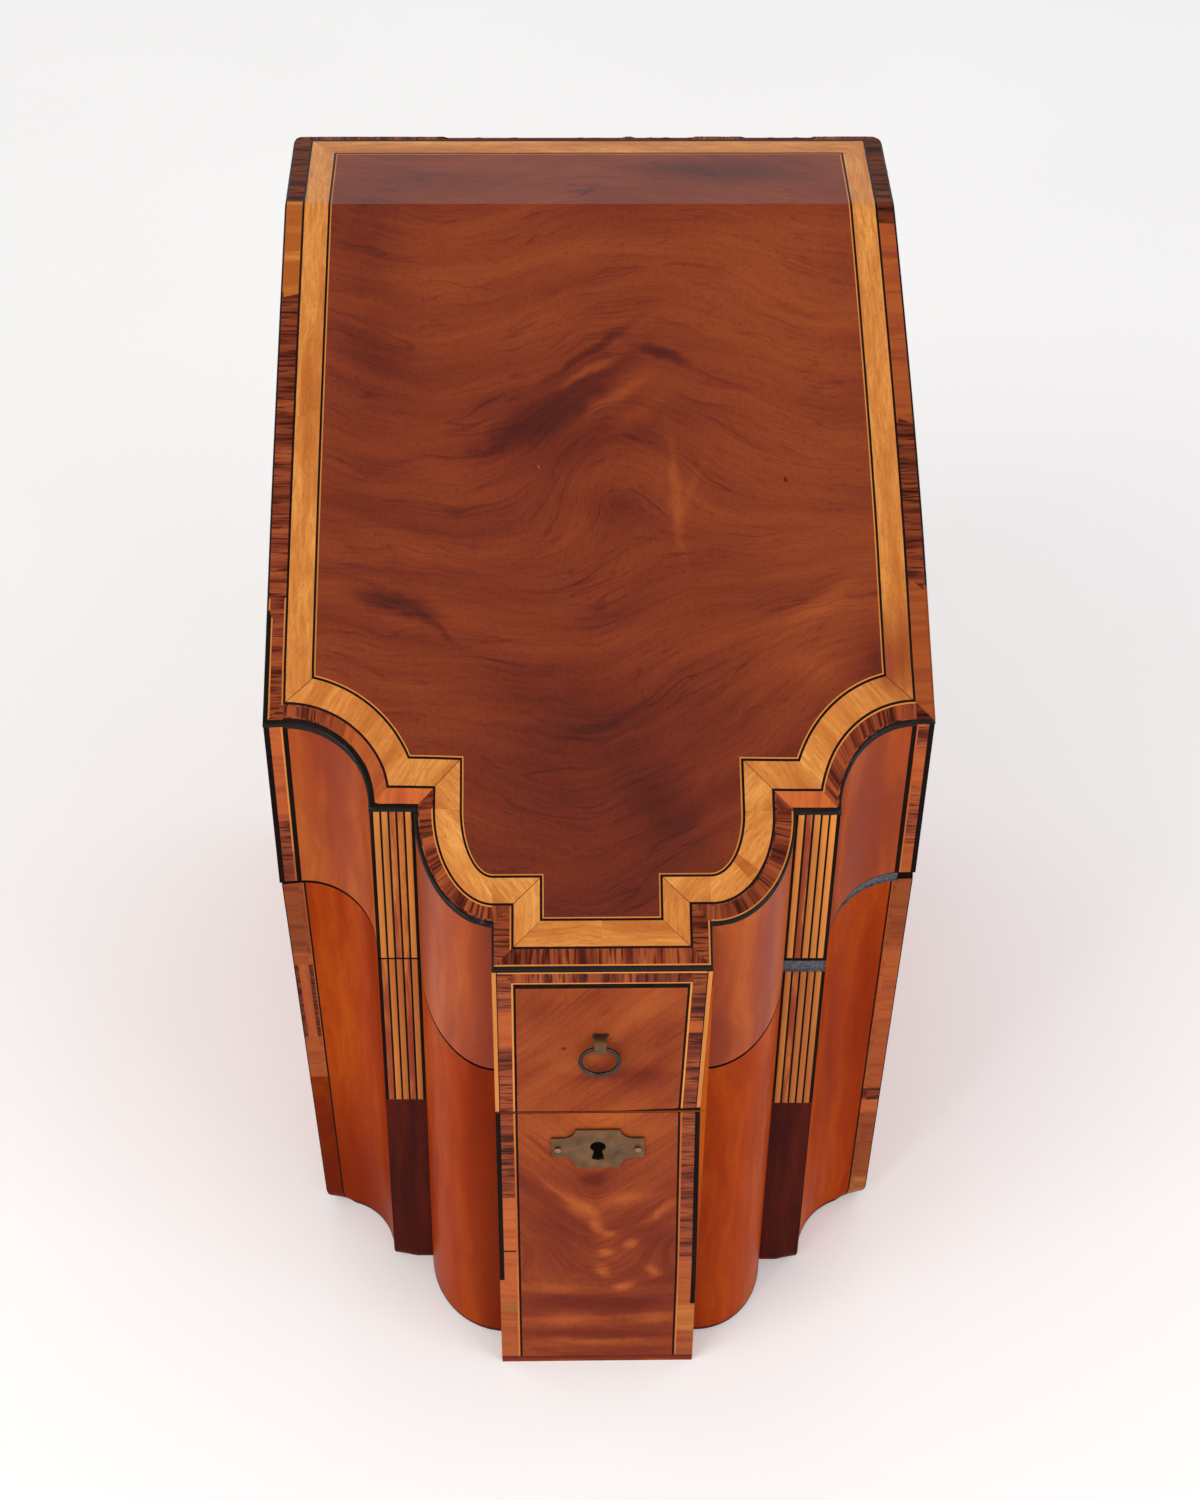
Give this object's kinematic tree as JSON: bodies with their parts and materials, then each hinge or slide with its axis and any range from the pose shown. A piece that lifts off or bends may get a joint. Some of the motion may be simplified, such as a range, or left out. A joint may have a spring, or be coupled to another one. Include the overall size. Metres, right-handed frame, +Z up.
{
  "type": "knife box",
  "caption": "Tall wooden knife box with a shaped front, a sloping hinged lid banded in light and dark wood, a slotted board inside, a lock, an escutcheon and a ring pull.",
  "frame": {"origin": "middle of the footprint, on the surface that the box stands on", "axes": "+Z up, the front faces -Y, +X to the right as seen from the front"},
  "size_m": [0.23, 0.3234, 0.356],
  "materials": {
    "mahogany": "polished, straight grain",
    "flame_mahogany": "polished, flame figure",
    "satinwood": "polished",
    "rosewood": "polished, cut across the grain",
    "inlaid_wood": "polished, boxwood and ebony strips",
    "deal": "bare softwood",
    "brass": "dull, darkened",
    "dark_iron": "worn dark, bright at the edges"
  },
  "bodies": {
    "carcase": {"blade_divider_1": "deal", "blade_divider_2": "deal", "case_back": "mahogany", "case_bottom": "deal", "case_centre": "flame_mahogany", "case_hollow_left": "mahogany", "case_hollow_right": "mahogany", "case_ovolo_left": "mahogany", "case_ovolo_right": "mahogany", "case_pilaster_left": "inlaid_wood", "case_pilaster_right": "inlaid_wood", "case_side_left": "mahogany", "case_side_right": "mahogany", "cleat_back": "deal", "cleat_left": "deal", "cleat_right": "deal", "cutlery_board": "flame_mahogany", "escutcheon": "brass", "escutcheon_pin_left": "brass", "escutcheon_pin_right": "brass", "hinge_left_lower_leaf": "brass", "hinge_left_lower_screw_a": "brass", "hinge_left_lower_screw_b": "brass", "hinge_left_pin": "brass", "hinge_right_lower_leaf": "brass", "hinge_right_lower_screw_a": "brass", "hinge_right_lower_screw_b": "brass", "hinge_right_pin": "brass", "lock_cap": "dark_iron", "lock_plate": "brass", "lock_screw_left": "brass", "lock_screw_right": "brass"},
    "lid": {"crossband": "rosewood", "field_veneer_flat": "flame_mahogany", "field_veneer_slope": "flame_mahogany", "hinge_left_upper_leaf": "brass", "hinge_left_upper_screw_a": "brass", "hinge_left_upper_screw_b": "brass", "hinge_right_upper_leaf": "brass", "hinge_right_upper_screw_a": "brass", "hinge_right_upper_screw_b": "brass", "lid_back": "mahogany", "lid_back_board": "mahogany", "lid_centre": "flame_mahogany", "lid_hollow_left": "mahogany", "lid_hollow_right": "mahogany", "lid_ovolo_left": "mahogany", "lid_ovolo_right": "mahogany", "lid_pilaster_left": "inlaid_wood", "lid_pilaster_right": "inlaid_wood", "lid_side_left": "mahogany", "lid_side_right": "mahogany", "lid_top_board": "mahogany", "link_plate": "brass", "link_plate_screw_left": "brass", "link_plate_screw_right": "brass", "ring_staple": "brass", "satinwood_band": "satinwood"},
    "ring": {"ring_pull": "dark_iron"},
    "bolt": {"lock_bolt": "brass"}
  },
  "joints": [
    {"name": "lid_hinge", "type": "hinge", "parent": "carcase", "child": "lid", "pos_m": [0, 0.1593, 0.30962], "axis": [-1, 0, 0], "range_deg": [0, 110]},
    {"name": "ring_swing", "type": "hinge", "parent": "lid", "child": "ring", "pos_m": [0, -0.159, 0.1855], "axis": [-1, 0, 0], "range_deg": [-5, 184]},
    {"name": "bolt_slide", "type": "slide", "parent": "carcase", "child": "bolt", "axis": [1, 0, 0], "range_m": [0, 0.0045]}
  ]
}
